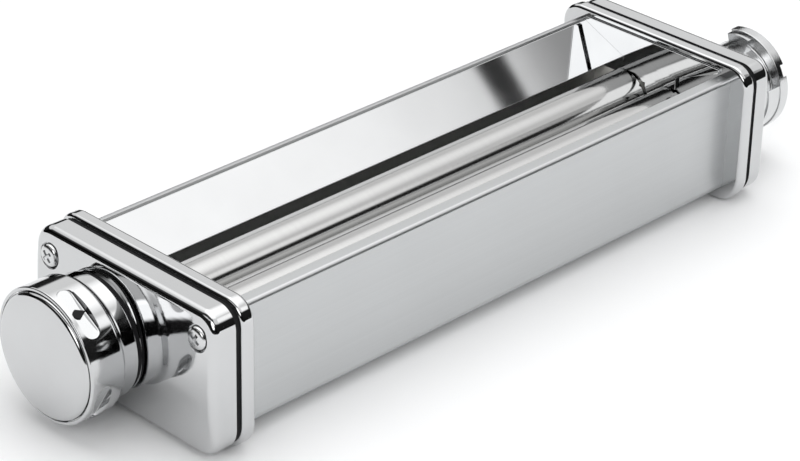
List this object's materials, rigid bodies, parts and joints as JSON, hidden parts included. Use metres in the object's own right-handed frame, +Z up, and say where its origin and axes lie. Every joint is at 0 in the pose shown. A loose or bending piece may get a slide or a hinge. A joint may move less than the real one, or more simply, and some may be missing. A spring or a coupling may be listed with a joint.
{
  "type": "pasta sheet roller attachment",
  "caption": "Polished steel dough sheet roller for a stand mixer: smooth rollers in an open hopper, a pull-and-turn thickness knob at one end and a twist-lock drive hub at the other.",
  "frame": {"origin": "on the surface that the end frames stand on, midway between the knob's cap and the hub's end, and midway from front to back", "axes": "+X along the rollers from the knob to the drive hub, +Y from the front panel to the rear panel, +Z up"},
  "size_m": [0.2406, 0.0654, 0.0404],
  "materials": {
    "polished_steel": "mirror polish",
    "satin_steel": "fine satin grain",
    "mirror_steel": "bright polish",
    "roller_steel": "ground and polished",
    "fastener_steel": "bright turned",
    "machined_steel": "machined",
    "black_rubber": "matt black",
    "black_mark": "matt black",
    "bearing_bronze": "turned",
    "bearing_nylon": "moulded",
    "scraper_nylon": "moulded"
  },
  "bodies": {
    "housing": {"left_end_frame": "polished_steel", "left_gasket": "black_rubber", "left_cover": "polished_steel", "left_cheek": "mirror_steel", "left_cover_screws": "fastener_steel", "left_drive_bush": "bearing_bronze", "right_end_frame": "polished_steel", "right_gasket": "black_rubber", "right_cover": "polished_steel", "right_cheek": "mirror_steel", "right_cover_screws": "fastener_steel", "right_drive_bush": "bearing_bronze", "front_panel": "satin_steel", "front_guide": "mirror_steel", "rear_panel": "satin_steel", "rear_guide": "mirror_steel", "front_scraper": "scraper_nylon", "tie_rods": "machined_steel", "tie_rod_screws": "fastener_steel", "adjuster_bush": "bearing_bronze", "knob_seal": "black_rubber", "drive_hub": "satin_steel", "hub_screws": "fastener_steel"},
    "drive_roller": {"drive_roller": "roller_steel", "drive_gear": "machined_steel", "drive_clip": "fastener_steel", "drive_tang": "machined_steel"},
    "carriage": {"left_bearing_block": "bearing_nylon", "right_bearing_block": "bearing_nylon", "carriage_bar": "machined_steel", "carriage_screws": "fastener_steel", "rear_scraper": "scraper_nylon", "follower_pin": "fastener_steel"},
    "idle_roller": {"idle_roller": "roller_steel", "idle_gear": "machined_steel", "idle_clip": "fastener_steel"},
    "adjuster": {"adjuster_shaft": "machined_steel", "adjuster_cam": "machined_steel", "knob_retainer": "fastener_steel"},
    "knob": {"knob": "polished_steel", "knob_cap": "polished_steel", "knob_mark": "black_mark"}
  },
  "joints": [
    {"name": "drive_spin", "type": "hinge", "parent": "housing", "child": "drive_roller", "pos_m": [0, -0.0076, 0.02], "axis": [1, 0, 0], "continuous": true},
    {"name": "thickness_turn", "type": "hinge", "parent": "housing", "child": "adjuster", "pos_m": [-0.095, 0.0077, 0.02], "axis": [1, 0, 0], "range_deg": [-144, 144]},
    {"name": "gap_slide", "type": "slide", "parent": "housing", "child": "carriage", "axis": [0, 1, 0], "range_m": [-0.0011, 0.0011]},
    {"name": "idle_spin", "type": "hinge", "parent": "carriage", "child": "idle_roller", "pos_m": [0, 0.0083, 0.02], "axis": [1, 0, 0], "continuous": true},
    {"name": "knob_pull", "type": "slide", "parent": "adjuster", "child": "knob", "axis": [-1, 0, 0], "range_m": [0, 0.003], "stiffness_N_per_m": 400, "springref_m": -0.003}
  ],
  "couplings": [
    {"joint": "idle_spin", "follows": "drive_spin", "ratio": -1},
    {"joint": "thickness_turn", "follows": "gap_slide", "rad_per_m": 2284.8}
  ]
}
